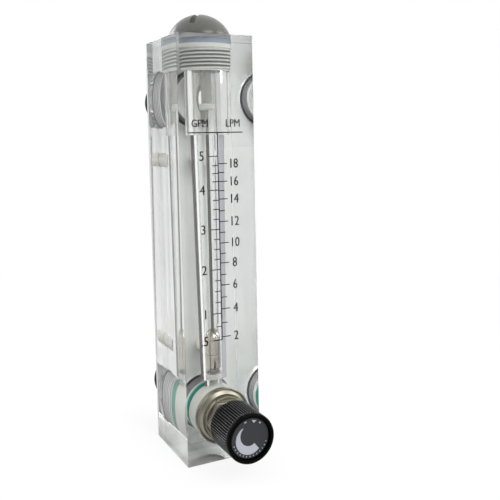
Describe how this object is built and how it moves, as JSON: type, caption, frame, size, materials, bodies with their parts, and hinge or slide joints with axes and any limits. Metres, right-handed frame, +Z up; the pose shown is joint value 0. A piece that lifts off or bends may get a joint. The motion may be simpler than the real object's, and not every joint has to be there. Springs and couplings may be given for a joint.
{
  "type": "rotameter",
  "caption": "Panel rotameter: clear block with a tapered bore, a float on a guide rod, a front needle-type valve knob and rear threaded ports.",
  "frame": {"origin": "middle of the footprint of the block and its plate, on the bottom face", "axes": "+Z up along the float bore, -Y out of the scale face towards the knob, +Y out of the rear ports"},
  "size_m": [0.032, 0.0825, 0.1795],
  "materials": {
    "clear_acrylic": "polished clear acrylic",
    "satin_plate": "satin",
    "plug_plastic": "smooth moulded",
    "seal_rubber": "matt",
    "rod_steel": "drawn",
    "stop_plastic": "smooth moulded",
    "float_steel": "fine turned",
    "fitting_plastic": "smooth moulded",
    "cartridge_plastic": "smooth moulded",
    "green_seal": "satin",
    "plated_brass": "turned, nickel plated",
    "stem_brass": "turned",
    "knob_plastic": "satin moulded",
    "cap_plastic": "smooth",
    "nut_steel": "plated"
  },
  "bodies": {
    "housing": {"body_block": "clear_acrylic", "back_plate": "satin_plate", "top_plug": "plug_plastic", "top_plug_seal": "seal_rubber", "guide_rod": "rod_steel", "upper_stop": "stop_plastic", "lower_stop": "stop_plastic", "outlet_fitting": "fitting_plastic", "inlet_fitting": "fitting_plastic", "outlet_seal": "seal_rubber", "inlet_seal": "seal_rubber", "valve_cartridge": "cartridge_plastic", "cartridge_seal": "green_seal", "valve_bonnet": "plated_brass", "bonnet_seal": "seal_rubber", "stem_seal_inner": "seal_rubber", "stem_seal_outer": "seal_rubber", "stud_upper": "stem_brass", "stud_lower": "stem_brass", "nut_upper": "nut_steel", "nut_lower": "nut_steel"},
    "float": {"float": "float_steel"},
    "valve_poppet": {"valve_poppet": "stem_brass", "poppet_seal": "seal_rubber"},
    "valve_screw": {"valve_stem": "stem_brass", "poppet_clip": "rod_steel", "knob": "knob_plastic", "knob_screw": "rod_steel", "knob_cap": "cap_plastic"}
  },
  "joints": [
    {"name": "float_rise", "type": "slide", "parent": "housing", "child": "float", "axis": [0, 0, 1], "range_m": [0, 0.09]},
    {"name": "valve_lift", "type": "slide", "parent": "housing", "child": "valve_poppet", "axis": [0, -1, 0], "range_m": [0, 0.0038]},
    {"name": "knob_turn", "type": "hinge", "parent": "valve_poppet", "child": "valve_screw", "pos_m": [0, -0.03, 0.018], "axis": [0, -1, 0], "range_deg": [0, 1080]}
  ],
  "couplings": [
    {"joint": "valve_lift", "follows": "knob_turn", "m_per_rad": 0.00019894}
  ]
}
